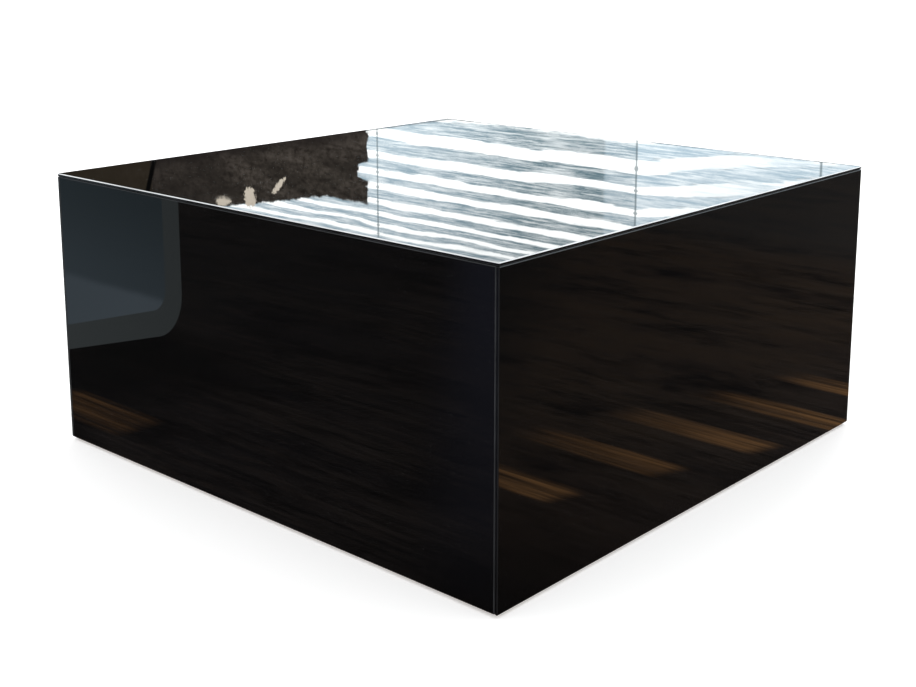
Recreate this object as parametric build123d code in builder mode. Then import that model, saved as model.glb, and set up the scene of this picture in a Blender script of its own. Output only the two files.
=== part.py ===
"""A low block table: a closed board carcass clad on its top and four sides in black
mirror-gloss glass, standing on four screw-adjusted levelling feet hidden under its corners.

Millimetres. +Z is up, the floor is Z = 0, and the origin is under the middle of the table.
"Front" is the -Y side and "right" is the +X side.
"""

from build123d import *
import os
from math import atan2, degrees

# --- Driving dimensions --------------------------------------------------------------------
table_width = 600.0  # along X, over the glass
table_depth = 600.0  # along Y, over the glass
table_height = 290.0  # from the floor to the polished top

# Glass panes. The top pane covers the upper edges of the side panes, and the left and right
# panes cover the upright edges of the front and back panes.
glass_thickness = 3.0
arris = 0.8  # the 45 degree arris ground on every glass edge
seam = 0.3  # the open joint between two panes
glass_floor_gap = 3.0

# Double-sided mirror tape that bonds the panes to the carcass.
tape_thickness = 1.0
tape_width = 19.0
tape_end_margin = 12.0  # from the end of a strip to the edge of the carcass
tape_side_margin = 24.0  # from the middle of the outermost strip to the edge of the carcass
tapes_per_pane = 6

# Board carcass.
top_board_thickness = 18.0
side_board_thickness = 16.0
rib_thickness = 16.0
board_floor_gap = 5.0
lap_clearance = 0.1  # on each side of the half-lap where the ribs cross
post_size = 60.0
cover_thickness = 3.0
cover_clearance = 0.5  # between the bottom cover and the boards around it

# Dowels in the top board, and dowels at the ends of the ribs.
dowel_diameter = 8.0
dowel_in_top = 10.0
dowel_in_board = 20.0
dowel_in_side = 9.0
dowel_in_rib = 21.0
dowel_end_margin = 70.0
dowels_per_board = 3

# Screws. Those of the carcass and the posts are countersunk, those of the cover pan-headed.
carcass_screw_diameter = 7.0
carcass_screw_head = 10.0
carcass_screw_length = 50.0
carcass_screws_per_corner = 3
post_screw_diameter = 5.0
post_screw_head = 9.6
post_screw_bite = 10.0  # how far it runs into the board beyond the post
post_screw_inset = 15.0  # from the post's faces towards the middle of the table
cover_screw_diameter = 3.5
cover_screw_head = 7.0
cover_screw_head_height = 2.4
cover_screw_head_rounding = 1.0
cover_screw_length = 16.0
cover_screw_inset = 7.0  # from the inner corner of a post
rib_screw_margin = 60.0  # from the middle of the table and from the ends of a rib
screw_end_margin = 35.0
screw_row_step = 9.0  # between the two directions of screws through one post

# Levelling foot: a felt sole under a moulded pad that turns freely on a threaded stem.
sole_diameter = 35.0
sole_thickness = 2.0
pad_diameter = 38.0
pad_rim_height = 2.6
pad_boss_diameter = 19.0
pad_height = 7.0
pad_top_rounding = 0.5
foot_clearance = 0.3  # between pieces of a foot that turn or slide past each other
stem_diameter = 8.0
stem_length = 40.0  # of plain thread above the spanner collar
stem_end_chamfer = 0.8
collar_across_flats = 13.0
collar_height = 4.4
disc_diameter = 11.0  # the button on the stem's lower end, held inside the pad
disc_thickness = 2.0
pad_floor = 2.0  # of pad under the button
insert_diameter = 12.0
insert_length = 20.0
thread_clearance = 0.05  # radial, between the stem and its threaded insert
stem_bore_clearance = 0.6  # radial, between the stem and the post above the insert
stem_bore_spare = 5.0  # of bore beyond the end of the retracted stem
pad_hole_clearance = 1.5  # radial, between a pad and its hole in the bottom cover

# --- Derived places -------------------------------------------------------------------------
half_width = table_width / 2
half_depth = table_depth / 2
cladding = glass_thickness + tape_thickness
carcass_x = half_width - cladding
carcass_y = half_depth - cladding
inner_x = carcass_x - side_board_thickness
inner_y = carcass_y - side_board_thickness

top_pane_bottom = table_height - glass_thickness
carcass_top = table_height - cladding
boards_top = carcass_top - top_board_thickness

pad_bottom = sole_thickness
pad_top = pad_bottom + pad_height
collar_bottom = pad_top + foot_clearance
collar_top = collar_bottom + collar_height
posts_bottom = collar_top + foot_clearance
cover_bottom = posts_bottom - cover_thickness
posts_height = boards_top - posts_bottom

foot_x = inner_x - post_size / 2
foot_y = inner_y - post_size / 2
stem_top = collar_top + stem_length
stem_bore_top = stem_top + stem_bore_spare
corners = {
    "front_left": (-1, -1),
    "front_right": (1, -1),
    "back_left": (-1, 1),
    "back_right": (1, 1),
}

os.makedirs("parts", exist_ok=True)


def save(part, name):
    """Label a finished piece and write it as its own STEP file."""
    part.label = name
    export_step(part, f"parts/{name}.step")


def spread(low, high, count):
    """Evenly spaced places from low to high."""
    return [low + (high - low) * i / (count - 1) for i in range(count)]


def looking(origin, direction):
    """A plane at origin whose normal is the given direction."""
    return Plane(origin=origin, z_dir=direction)


# --- Fasteners ------------------------------------------------------------------------------
def dowel_set(planes, above, below):
    """Plain dowels, one on each plane, reaching above and below it."""
    with BuildPart() as dowels:
        for plane in planes:
            with BuildSketch(plane):
                Circle(dowel_diameter / 2)
            extrude(amount=above)
            with BuildSketch(plane):
                Circle(dowel_diameter / 2)
            extrude(amount=-below)
    return dowels.part


def countersunk_set(planes, diameter, head, length):
    """Countersunk screws driven against each plane's normal, heads flush with the plane."""
    head_drop = (head - diameter) / 2
    with BuildPart() as screws:
        for plane in planes:
            with BuildSketch(plane):
                Circle(head / 2)
            extrude(amount=-head_drop, taper=45)
            with BuildSketch(plane.offset(-head_drop)):
                Circle(diameter / 2)
            extrude(amount=-(length - head_drop))
    return screws.part


# Upright dowels between the top board and the four boards under it.
board_line_x = carcass_x - side_board_thickness / 2
board_line_y = carcass_y - side_board_thickness / 2
along_x = spread(dowel_end_margin - carcass_x, carcass_x - dowel_end_margin, dowels_per_board)
along_y = spread(dowel_end_margin - carcass_y, carcass_y - dowel_end_margin, dowels_per_board)
top_dowel_places = [(x, side * board_line_y) for x in along_x for side in (-1, 1)]
top_dowel_places += [(side * board_line_x, y) for y in along_y for side in (-1, 1)]
top_dowels = dowel_set(
    [Plane.XY.offset(boards_top).shift_origin((x, y, boards_top)) for x, y in top_dowel_places],
    dowel_in_top,
    dowel_in_board,
)
save(top_dowels, "top_dowels")

# Level dowels at the rib ends, clear of the half-lap and of the carcass screws.
rib_dowel_planes = []
for side in (-1, 1):
    for height in (posts_bottom + screw_end_margin, boards_top - screw_end_margin):
        rib_dowel_planes.append(looking((side * inner_x, 0, height), (side, 0, 0)))
        rib_dowel_planes.append(looking((0, side * inner_y, height), (0, side, 0)))
rib_dowels = dowel_set(rib_dowel_planes, dowel_in_side, dowel_in_rib)
save(rib_dowels, "rib_dowels")

# Screws through the front and back boards into the ends of the left and right boards.
carcass_screw_heights = spread(
    board_floor_gap + screw_end_margin, boards_top - screw_end_margin, carcass_screws_per_corner
)
carcass_screw_planes = [
    looking((side_x * board_line_x, side_y * carcass_y, height), (0, side_y, 0))
    for side_x, side_y in corners.values()
    for height in carcass_screw_heights
]
carcass_screws = countersunk_set(
    carcass_screw_planes, carcass_screw_diameter, carcass_screw_head, carcass_screw_length
)
save(carcass_screws, "carcass_screws")

# Screws through each post into both of its boards, midway between the heights of the carcass
# screws, with the two directions at different heights.
post_face_x = inner_x - post_size
post_face_y = inner_y - post_size
post_screw_planes = []
for side_x, side_y in corners.values():
    screw_x = side_x * (post_face_x + post_screw_inset)
    screw_y = side_y * (post_face_y + post_screw_inset)
    for below, above in zip(carcass_screw_heights, carcass_screw_heights[1:]):
        middle = (below + above) / 2
        high, low = middle + screw_row_step / 2, middle - screw_row_step / 2
        post_screw_planes.append(looking((side_x * post_face_x, screw_y, high), (-side_x, 0, 0)))
        post_screw_planes.append(looking((screw_x, side_y * post_face_y, low), (0, -side_y, 0)))
post_screws = countersunk_set(
    post_screw_planes, post_screw_diameter, post_screw_head, post_size + post_screw_bite
)
save(post_screws, "post_screws")

# Pan-head screws that hold the bottom cover to the posts and to the ribs.
cover_screw_x = post_face_x + cover_screw_inset
cover_screw_y = post_face_y + cover_screw_inset
cover_screw_places = [
    (side_x * cover_screw_x, side_y * cover_screw_y) for side_x, side_y in corners.values()
]
for side in (-1, 1):
    cover_screw_places += [(side * x, 0) for x in (rib_screw_margin, inner_x - rib_screw_margin)]
    cover_screw_places += [(0, side * y) for y in (rib_screw_margin, inner_y - rib_screw_margin)]
with BuildPart() as cover_screws:
    with BuildSketch(Plane.XY.offset(cover_bottom)):
        with Locations(*cover_screw_places):
            Circle(cover_screw_head / 2)
    extrude(amount=-cover_screw_head_height)
    fillet(cover_screws.edges().group_by(Axis.Z)[0], cover_screw_head_rounding)
    with BuildSketch(Plane.XY.offset(cover_bottom)):
        with Locations(*cover_screw_places):
            Circle(cover_screw_diameter / 2)
    extrude(amount=cover_screw_length)
save(cover_screws.part, "cover_screws")

# --- Carcass --------------------------------------------------------------------------------
with BuildPart() as top_board:
    with BuildSketch(Plane.XY.offset(boards_top)):
        Rectangle(2 * carcass_x, 2 * carcass_y)
    extrude(amount=top_board_thickness)
    add(top_dowels, mode=Mode.SUBTRACT)
save(top_board.part, "top_board")

side_height = boards_top - board_floor_gap
side_boards = {
    "front_board": ((0, -board_line_y), (2 * carcass_x, side_board_thickness)),
    "back_board": ((0, board_line_y), (2 * carcass_x, side_board_thickness)),
    "left_board": ((-board_line_x, 0), (side_board_thickness, 2 * inner_y)),
    "right_board": ((board_line_x, 0), (side_board_thickness, 2 * inner_y)),
}
for name, (centre, plan) in side_boards.items():
    with BuildPart() as side_board:
        with BuildSketch(Plane.XY.offset(board_floor_gap)):
            with Locations(centre):
                Rectangle(*plan)
        extrude(amount=side_height)
        for fasteners in (top_dowels, rib_dowels, carcass_screws, post_screws):
            add(fasteners, mode=Mode.SUBTRACT)
    save(side_board.part, name)

# Two ribs cross under the middle of the top board in a half-lap.
lap_middle = posts_bottom + posts_height / 2
lap_width = rib_thickness + 2 * lap_clearance
ribs = {
    "cross_rib": (2 * inner_x, rib_thickness, lap_middle, boards_top),
    "long_rib": (rib_thickness, 2 * inner_y, posts_bottom, lap_middle),
}
for name, (length_x, length_y, slot_bottom, slot_top) in ribs.items():
    with BuildPart() as rib:
        with BuildSketch(Plane.XY.offset(posts_bottom)):
            Rectangle(length_x, length_y)
        extrude(amount=posts_height)
        with BuildSketch(Plane.XY.offset(slot_bottom)):
            Rectangle(lap_width, lap_width)
        extrude(amount=slot_top - slot_bottom, mode=Mode.SUBTRACT)
        for fasteners in (rib_dowels, cover_screws.part):
            add(fasteners, mode=Mode.SUBTRACT)
    save(rib.part, name)

# A post in each corner carries the top and takes the threaded insert of a foot.
for corner, (side_x, side_y) in corners.items():
    centre = (side_x * foot_x, side_y * foot_y)
    with BuildPart() as post:
        with BuildSketch(Plane.XY.offset(posts_bottom)):
            with Locations(centre):
                Rectangle(post_size, post_size)
        extrude(amount=posts_height)
        with BuildSketch(Plane.XY.offset(posts_bottom)):
            with Locations(centre):
                Circle(insert_diameter / 2)
        extrude(amount=insert_length, mode=Mode.SUBTRACT)
        with BuildSketch(Plane.XY.offset(posts_bottom)):
            with Locations(centre):
                Circle(stem_diameter / 2 + stem_bore_clearance)
        extrude(amount=stem_bore_top - posts_bottom, mode=Mode.SUBTRACT)
        for fasteners in (post_screws, cover_screws.part):
            add(fasteners, mode=Mode.SUBTRACT)
    save(post.part, f"post_{corner}")

foot_places = [(side_x * foot_x, side_y * foot_y) for side_x, side_y in corners.values()]
with BuildPart() as foot_inserts:
    with BuildSketch(Plane.XY.offset(posts_bottom)):
        with Locations(*foot_places):
            Circle(insert_diameter / 2)
            Circle(stem_diameter / 2 + thread_clearance, mode=Mode.SUBTRACT)
    extrude(amount=insert_length)
save(foot_inserts.part, "foot_inserts")

with BuildPart() as bottom_cover:
    with BuildSketch(Plane.XY.offset(cover_bottom)):
        Rectangle(2 * (inner_x - cover_clearance), 2 * (inner_y - cover_clearance))
        with Locations(*foot_places):
            Circle(pad_diameter / 2 + pad_hole_clearance, mode=Mode.SUBTRACT)
    extrude(amount=cover_thickness)
    add(cover_screws.part, mode=Mode.SUBTRACT)
save(bottom_cover.part, "bottom_cover")


# --- Glass and its tape ---------------------------------------------------------------------
def pane(centre, size):
    """A glass pane with an arris ground along every edge."""
    with BuildPart() as glass:
        with Locations(centre):
            Box(*size)
        chamfer(glass.edges(), arris)
    return glass.part


side_pane_top = top_pane_bottom - seam
side_pane_height = side_pane_top - glass_floor_gap
side_pane_middle = glass_floor_gap + side_pane_height / 2
covered_width = table_width - 2 * (glass_thickness + seam)
pane_line_x = half_width - glass_thickness / 2
pane_line_y = half_depth - glass_thickness / 2
panes = {
    "top_pane": (
        (0, 0, top_pane_bottom + glass_thickness / 2),
        (table_width, table_depth, glass_thickness),
    ),
    "front_pane": (
        (0, -pane_line_y, side_pane_middle),
        (covered_width, glass_thickness, side_pane_height),
    ),
    "back_pane": (
        (0, pane_line_y, side_pane_middle),
        (covered_width, glass_thickness, side_pane_height),
    ),
    "left_pane": (
        (-pane_line_x, 0, side_pane_middle),
        (glass_thickness, table_depth, side_pane_height),
    ),
    "right_pane": (
        (pane_line_x, 0, side_pane_middle),
        (glass_thickness, table_depth, side_pane_height),
    ),
}
for name, (centre, size) in panes.items():
    save(pane(centre, size), name)

tape_line_x = carcass_x + tape_thickness / 2
tape_line_y = carcass_y + tape_thickness / 2
tape_x = spread(tape_side_margin - carcass_x, carcass_x - tape_side_margin, tapes_per_pane)
tape_y = spread(tape_side_margin - carcass_y, carcass_y - tape_side_margin, tapes_per_pane)
side_tape_bottom = glass_floor_gap + tape_end_margin
side_tape_height = carcass_top - tape_end_margin - side_tape_bottom
side_tape_middle = side_tape_bottom + side_tape_height / 2
across_front = (tape_width, tape_thickness, side_tape_height)
across_side = (tape_thickness, tape_width, side_tape_height)
tapes = {
    "top_tape": (
        [(0, y, carcass_top + tape_thickness / 2) for y in tape_y],
        (2 * (carcass_x - tape_end_margin), tape_width, tape_thickness),
    ),
    "front_tape": ([(x, -tape_line_y, side_tape_middle) for x in tape_x], across_front),
    "back_tape": ([(x, tape_line_y, side_tape_middle) for x in tape_x], across_front),
    "left_tape": ([(-tape_line_x, y, side_tape_middle) for y in tape_y], across_side),
    "right_tape": ([(tape_line_x, y, side_tape_middle) for y in tape_y], across_side),
}
for name, (places, size) in tapes.items():
    with BuildPart() as tape:
        with Locations(*places):
            Box(*size)
    save(tape.part, name)

# --- Levelling feet -------------------------------------------------------------------------
button_bottom = pad_bottom + pad_floor + foot_clearance
button_top = button_bottom + disc_thickness
stem_radius = stem_diameter / 2
for corner, (side_x, side_y) in corners.items():
    foot_plane = Plane.XY.shift_origin((side_x * foot_x, side_y * foot_y, 0))

    with BuildPart() as sole:
        with BuildSketch(foot_plane):
            Circle(sole_diameter / 2)
        extrude(amount=sole_thickness)
    save(sole.part, f"foot_sole_{corner}")

    with BuildPart() as pad:
        with BuildSketch(foot_plane.offset(pad_bottom)):
            Circle(pad_diameter / 2)
        extrude(amount=pad_rim_height)
        with BuildSketch(foot_plane.offset(pad_bottom + pad_rim_height)):
            Circle(pad_diameter / 2)
        cone_height = pad_height - pad_rim_height
        cone_inset = (pad_diameter - pad_boss_diameter) / 2
        extrude(amount=cone_height, taper=degrees(atan2(cone_inset, cone_height)))
        fillet(pad.edges().group_by(Axis.Z)[-1], pad_top_rounding)
        with BuildSketch(foot_plane.offset(button_bottom - foot_clearance)):
            Circle(disc_diameter / 2 + foot_clearance)
        extrude(amount=disc_thickness + 2 * foot_clearance, mode=Mode.SUBTRACT)
        with BuildSketch(foot_plane.offset(button_top)):
            Circle(stem_radius + foot_clearance)
        extrude(amount=pad_top - button_top, mode=Mode.SUBTRACT)
    save(pad.part, f"foot_pad_{corner}")

    with BuildPart() as stem:
        with BuildSketch(foot_plane.offset(button_bottom)):
            Circle(disc_diameter / 2)
        extrude(amount=disc_thickness)
        with BuildSketch(foot_plane.offset(button_bottom)):
            Circle(stem_radius)
        extrude(amount=stem_top - button_bottom)
        with BuildSketch(foot_plane.offset(collar_bottom)):
            RegularPolygon(collar_across_flats / 2, 6, major_radius=False)
        extrude(amount=collar_height)
        chamfer(stem.edges().group_by(Axis.Z)[-1], stem_end_chamfer)
    save(stem.part, f"foot_stem_{corner}")
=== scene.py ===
# %% [markdown]
# # A black mirror-glass block table
#
# The real object is a low coffee table in the shape of a plain block. A hidden carcass of
# fibreboard is clad in five panes of black glass, so nothing shows but gloss, thin ground
# edges and the room in the glass. The CAD part already holds every board, screw and foot at
# its true size. This lesson dresses that frame: it models the glass, the fasteners and the
# feet again in fine detail, and gives the boards and tapes a finish.

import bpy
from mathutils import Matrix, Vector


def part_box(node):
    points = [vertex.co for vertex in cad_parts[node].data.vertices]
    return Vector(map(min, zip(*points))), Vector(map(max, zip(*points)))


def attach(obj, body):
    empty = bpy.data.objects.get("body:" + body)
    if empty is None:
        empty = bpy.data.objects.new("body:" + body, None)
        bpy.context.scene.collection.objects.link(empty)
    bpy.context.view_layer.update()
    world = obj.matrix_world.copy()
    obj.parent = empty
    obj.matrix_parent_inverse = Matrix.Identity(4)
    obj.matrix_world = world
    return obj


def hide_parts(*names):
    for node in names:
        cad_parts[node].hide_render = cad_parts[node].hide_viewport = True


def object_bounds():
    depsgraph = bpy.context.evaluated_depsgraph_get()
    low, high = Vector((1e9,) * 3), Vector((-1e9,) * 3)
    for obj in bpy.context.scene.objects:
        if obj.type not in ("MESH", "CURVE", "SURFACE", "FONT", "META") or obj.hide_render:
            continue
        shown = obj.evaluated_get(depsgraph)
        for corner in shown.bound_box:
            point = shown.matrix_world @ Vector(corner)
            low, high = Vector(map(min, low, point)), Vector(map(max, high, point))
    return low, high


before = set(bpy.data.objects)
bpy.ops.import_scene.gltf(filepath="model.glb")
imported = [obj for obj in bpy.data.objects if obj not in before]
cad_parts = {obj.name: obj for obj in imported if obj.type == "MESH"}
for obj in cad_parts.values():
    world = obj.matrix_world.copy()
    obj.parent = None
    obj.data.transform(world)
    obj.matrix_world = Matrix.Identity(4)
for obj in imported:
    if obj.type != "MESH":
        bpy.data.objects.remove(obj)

# %% [markdown]
# ## Size and kit
#
# Every place comes from the frame, in metres. The box of the whole part is kept now,
# because the looks must not change the size of the table.

# %% The part's box and the lesson's tools
import math

import bpy
from mathutils import Matrix, Vector

cad_low, cad_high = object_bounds()
MM = 0.001
FLAT = 0.99  # a face counts as flat when its normal has at least this much of one axis
SMOOTH_BELOW = math.radians(32)
print("table size in metres", [round(v, 4) for v in cad_high - cad_low])

# %% [markdown]
# ## Selecting and finishing a mesh
#
# An operator acts on whatever is selected, so each step starts by selecting nothing, then
# one piece, then the faces, edges or corners that a rule about their place accepts. When a
# piece is shaped, its place is put into its mesh, doubled corners are merged, and faces are
# turned outwards.

# %% Selecting


def drop_selection():
    """Leave edit mode and select nothing."""
    if bpy.context.object and bpy.context.object.mode != "OBJECT":
        bpy.ops.object.mode_set(mode="OBJECT")
    bpy.ops.object.select_all(action="DESELECT")


def take(piece):
    """Make one piece the selected and active one."""
    drop_selection()
    piece.select_set(True)
    bpy.context.view_layer.objects.active = piece


def pick(piece, rule, kind="FACE"):
    """Open a piece in edit mode with the faces, edges or corners selected that a rule accepts."""
    take(piece)
    bpy.ops.object.mode_set(mode="EDIT")
    bpy.ops.mesh.select_mode(type=kind)
    bpy.ops.mesh.select_all(action="DESELECT")
    bpy.ops.object.mode_set(mode="OBJECT")
    mesh = piece.data
    if kind == "FACE":
        for face in mesh.polygons:
            face.select = rule(face.center, face.normal)
    elif kind == "EDGE":
        for edge in mesh.edges:
            edge.select = rule(*(mesh.vertices[i].co for i in edge.vertices))
    else:
        for corner in mesh.vertices:
            corner.select = rule(corner.co)
    bpy.ops.object.mode_set(mode="EDIT")


def pick_all(piece):
    """Open a piece in edit mode with everything selected."""
    take(piece)
    bpy.ops.object.mode_set(mode="EDIT")
    bpy.ops.mesh.select_all(action="SELECT")


print("selecting tools ready")

# %% Finishing a mesh


def settle(piece):
    """Put a piece's place into its mesh, so its object stands unturned at the origin."""
    take(piece)
    bpy.ops.object.transform_apply(location=True, rotation=True, scale=True)


def close_up(piece, gap=1e-6):
    """Merge doubled corners and turn every face outwards."""
    pick_all(piece)
    bpy.ops.mesh.remove_doubles(threshold=gap)
    bpy.ops.mesh.normals_make_consistent(inside=False)
    bpy.ops.object.mode_set(mode="OBJECT")


def finish_with(piece, kind, **settings):
    """Add a modifier and apply it."""
    take(piece)
    modifier = piece.modifiers.new(kind.title(), kind)
    for key, value in settings.items():
        setattr(modifier, key, value)
    bpy.ops.object.modifier_apply(modifier=modifier.name)


print("finishing tools ready")

# %% [markdown]
# ## Materials: a small kit for node trees
#
# Each finish is a node tree on Object coordinates. Finishes share five effects, and each
# effect is one node group: it takes a pattern position and a few colours, and gives back
# colours, masks and heights. The shader itself always stays in the material. A few helpers
# keep the trees readable: each adds one or two nodes and hands back what they put out.

# %% Nodes and values


def add_node(tree, kind, inputs=None, **settings):
    """Add a node, set its options, and set or link its inputs."""
    made = tree.nodes.new(kind)
    for key, value in settings.items():
        setattr(made, key, value)
    for key, value in (inputs or {}).items():
        if isinstance(value, bpy.types.NodeSocket):
            tree.links.new(value, made.inputs[key])
        else:
            made.inputs[key].default_value = value
    return made


def maths(tree, operation, first, second=0.0, clamp=False):
    """One Math node's result."""
    made = add_node(
        tree, "ShaderNodeMath", {0: first, 1: second}, operation=operation, use_clamp=clamp
    )
    return made.outputs[0]


def plus(tree, first, second):
    """The sum of two values."""
    return maths(tree, "ADD", first, second)


def minus(tree, first, second):
    """The first value less the second."""
    return maths(tree, "SUBTRACT", first, second)


def times(tree, value, *others):
    """The product of some values."""
    for other in others:
        value = maths(tree, "MULTIPLY", value, other)
    return value


def apart(tree, first, second):
    """How far apart two values are."""
    return maths(tree, "ABSOLUTE", minus(tree, first, second))


def ramp(tree, value, low, high, to_low=0.0, to_high=1.0, smooth=False):
    """Carry a value from one range to another."""
    made = add_node(
        tree,
        "ShaderNodeMapRange",
        {0: value, 1: low, 2: high, 3: to_low, 4: to_high},
        interpolation_type="SMOOTHSTEP" if smooth else "LINEAR",
    )
    return made.outputs[0]


print("value helpers ready")

# %% Colours and patterns


def blend_colours(tree, share, first, second):
    """Mix two colours by a share."""
    made = add_node(tree, "ShaderNodeMix", data_type="RGBA", clamp_factor=True)
    for socket, value in ((0, share), (6, first), (7, second)):
        if isinstance(value, bpy.types.NodeSocket):
            tree.links.new(value, made.inputs[socket])
        else:
            made.inputs[socket].default_value = value
    return made.outputs[2]


def paint_over(tree, colour, *coats):
    """Lay further colours over a first one, each by its own share."""
    for share, tone in coats:
        colour = blend_colours(tree, share, colour, tone)
    return colour


def noise(tree, vector, scale, detail=3.0, roughness=0.5, stretch=None):
    """Noise on a position, drawn out by a stretch along the axes."""
    if stretch:
        mapped = add_node(tree, "ShaderNodeMapping", {"Vector": vector, "Scale": stretch})
        vector = mapped.outputs[0]
    made = add_node(
        tree,
        "ShaderNodeTexNoise",
        {"Vector": vector, "Scale": scale, "Detail": detail, "Roughness": roughness},
    )
    return made.outputs[0]


def place_on_piece(tree):
    """The position on the piece, in metres."""
    return add_node(tree, "ShaderNodeTexCoord").outputs["Object"]


print("colour helpers ready")

# %% Groups, materials and links


def feed(tree, node, **sources):
    """Link sources to a node's named sockets, written with _ for a space."""
    for key, source in sources.items():
        tree.links.new(source, node.inputs[key.replace("_", " ")])


def start_group(name, ins, outs):
    """An empty node group with named inputs and outputs."""
    group = bpy.data.node_groups.new(name, "ShaderNodeTree")
    for label, kind, value in ins:
        socket = group.interface.new_socket(label, in_out="INPUT", socket_type=kind)
        if value is not None:
            socket.default_value = value
    for label, kind in outs:
        group.interface.new_socket(label, in_out="OUTPUT", socket_type=kind)
    return group, add_node(group, "NodeGroupInput"), add_node(group, "NodeGroupOutput")


def use_group(tree, group, **inputs):
    """Place an effect in a material with its own values."""
    made = tree.nodes.new("ShaderNodeGroup")
    made.node_tree = group
    for key, value in inputs.items():
        socket = made.inputs[key.replace("_", " ")]
        if isinstance(value, bpy.types.NodeSocket):
            tree.links.new(value, socket)
        else:
            socket.default_value = value
    return made


def start_material(name, **constants):
    """A material with one Principled shader, and constants set on the shader's own sockets."""
    material = bpy.data.materials.new(name)
    material.use_nodes = True
    tree = material.node_tree
    shader = tree.nodes["Principled BSDF"]
    for key, value in constants.items():
        shader.inputs[key.replace("_", " ")].default_value = value
    return material, tree, shader


def add_relief(tree, shader, height, depth, strength=1.0):
    """Bump a shader by a height between 0 and 1 that stands for a depth in metres."""
    bump = add_node(
        tree, "ShaderNodeBump", {"Height": height, "Distance": depth, "Strength": strength}
    )
    feed(tree, shader, Normal=bump.outputs[0])


COLOUR, NUMBER, VECTOR = "NodeSocketColor", "NodeSocketFloat", "NodeSocketVector"
print("node kit ready")

# %% [markdown]
# ## Effect: handled gloss
#
# Polished glass is never quite empty. It carries a film that wiping left in arcs, a few
# finger dabs, and settled specks of dust, and float glass rolls very slightly over a hand's
# width, which makes straight things waver in the reflection. The group gives one mask for
# each, and the height of the slow roll.

# %% Handled gloss group
gloss_film, film_in, film_out = start_group(
    "handled_gloss",
    [("Position", VECTOR, None), ("Speck Size", NUMBER, 900.0)],
    [("Smear", NUMBER), ("Specks", NUMBER), ("Roll", NUMBER)],
)
film_at = film_in.outputs["Position"]
wiped = noise(gloss_film, film_at, 9.0, 4.0, 0.6, stretch=(1.0, 2.6, 1.6))
dabs = noise(gloss_film, film_at, 38.0, 2.0, 0.5)
smear = times(
    gloss_film,
    ramp(gloss_film, wiped, 0.46, 0.78, smooth=True),
    ramp(gloss_film, dabs, 0.42, 0.66, smooth=True),
)
speck_cells = add_node(
    gloss_film, "ShaderNodeTexVoronoi", {"Vector": film_at, "Scale": film_in.outputs["Speck Size"]}
)
speck_here = ramp(gloss_film, speck_cells.outputs["Distance"], 0.10, 0.22, 1.0, 0.0)
speck_some = ramp(gloss_film, noise(gloss_film, film_at, 160.0, 2.0), 0.60, 0.68)
specks = times(gloss_film, speck_here, speck_some)
roll = noise(gloss_film, film_at, 6.5, 1.0, 0.4)
feed(gloss_film, film_out, Smear=smear, Specks=specks, Roll=roll)
print("group", gloss_film.name)

# %% [markdown]
# ## Effect: pressed fibres
#
# Fibreboard, hardboard and felt are all mats of fibres. Short streaks in three directions,
# lighter and darker than their ground, read as a mat at any scale. The group mixes them and
# gives a colour and a height.

# %% Pressed fibres group
fibre_mat, mat_in, mat_out = start_group(
    "pressed_fibres",
    [
        ("Position", VECTOR, None),
        ("Fibre Scale", NUMBER, 300.0),
        ("Ground", COLOUR, (0.3, 0.2, 0.1, 1)),
        ("Fibre", COLOUR, (0.5, 0.4, 0.3, 1)),
        ("Dark Fleck", COLOUR, (0.1, 0.07, 0.05, 1)),
    ],
    [("Colour", COLOUR), ("Height", NUMBER)],
)
mat_at = mat_in.outputs["Position"]
strands = [
    noise(fibre_mat, mat_at, mat_in.outputs["Fibre Scale"], 4.0, 0.65, stretch=stretch)
    for stretch in ((1.0, 0.18, 1.0), (0.18, 1.0, 1.0), (1.0, 1.0, 0.18))
]
mat_height = maths(
    fibre_mat, "MAXIMUM", maths(fibre_mat, "MAXIMUM", strands[0], strands[1]), strands[2]
)
cloudy = noise(fibre_mat, mat_at, 14.0, 3.0)
mat_colour = paint_over(
    fibre_mat,
    mat_in.outputs["Ground"],
    (ramp(fibre_mat, mat_height, 0.52, 0.74), mat_in.outputs["Fibre"]),
    (ramp(fibre_mat, strands[1], 0.34, 0.22), mat_in.outputs["Dark Fleck"]),
    (ramp(fibre_mat, cloudy, 0.35, 0.75, 0.0, 0.35), mat_in.outputs["Fibre"]),
)
feed(fibre_mat, mat_out, Colour=mat_colour, Height=mat_height)
print("group", fibre_mat.name)

# %% [markdown]
# ## Effect: sawn grain
#
# Pine posts and beech dowels are cut along the tree. Growth rings are surfaces nested round
# the tree's heart, so a Wave texture of rings, cut off-centre and drawn out along the
# grain, gives arches and stripes on each sawn face. Short dark pores run the same way.

# %% Sawn grain group
sawn_grain, grain_in, grain_out = start_group(
    "sawn_grain",
    [
        ("Position", VECTOR, None),
        ("Ring Scale", NUMBER, 60.0),
        ("Pore Scale", NUMBER, 900.0),
        ("Early Wood", COLOUR, (0.7, 0.5, 0.3, 1)),
        ("Late Wood", COLOUR, (0.5, 0.3, 0.15, 1)),
    ],
    [("Colour", COLOUR), ("Height", NUMBER)],
)
grain_at = grain_in.outputs["Position"]
ring_at = add_node(
    sawn_grain,
    "ShaderNodeMapping",
    {"Vector": grain_at, "Location": (0.031, 0.012, 0.0), "Scale": (1.0, 1.0, 0.12)},
).outputs[0]
rings = add_node(
    sawn_grain,
    "ShaderNodeTexWave",
    {
        "Vector": ring_at,
        "Scale": grain_in.outputs["Ring Scale"],
        "Distortion": 3.0,
        "Detail": 2.0,
        "Detail Scale": 1.4,
    },
    wave_type="RINGS",
    rings_direction="Z",
    wave_profile="SAW",
)
pores = noise(
    sawn_grain, grain_at, grain_in.outputs["Pore Scale"], 2.0, 0.6, stretch=(1.0, 1.0, 0.05)
)
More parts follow.
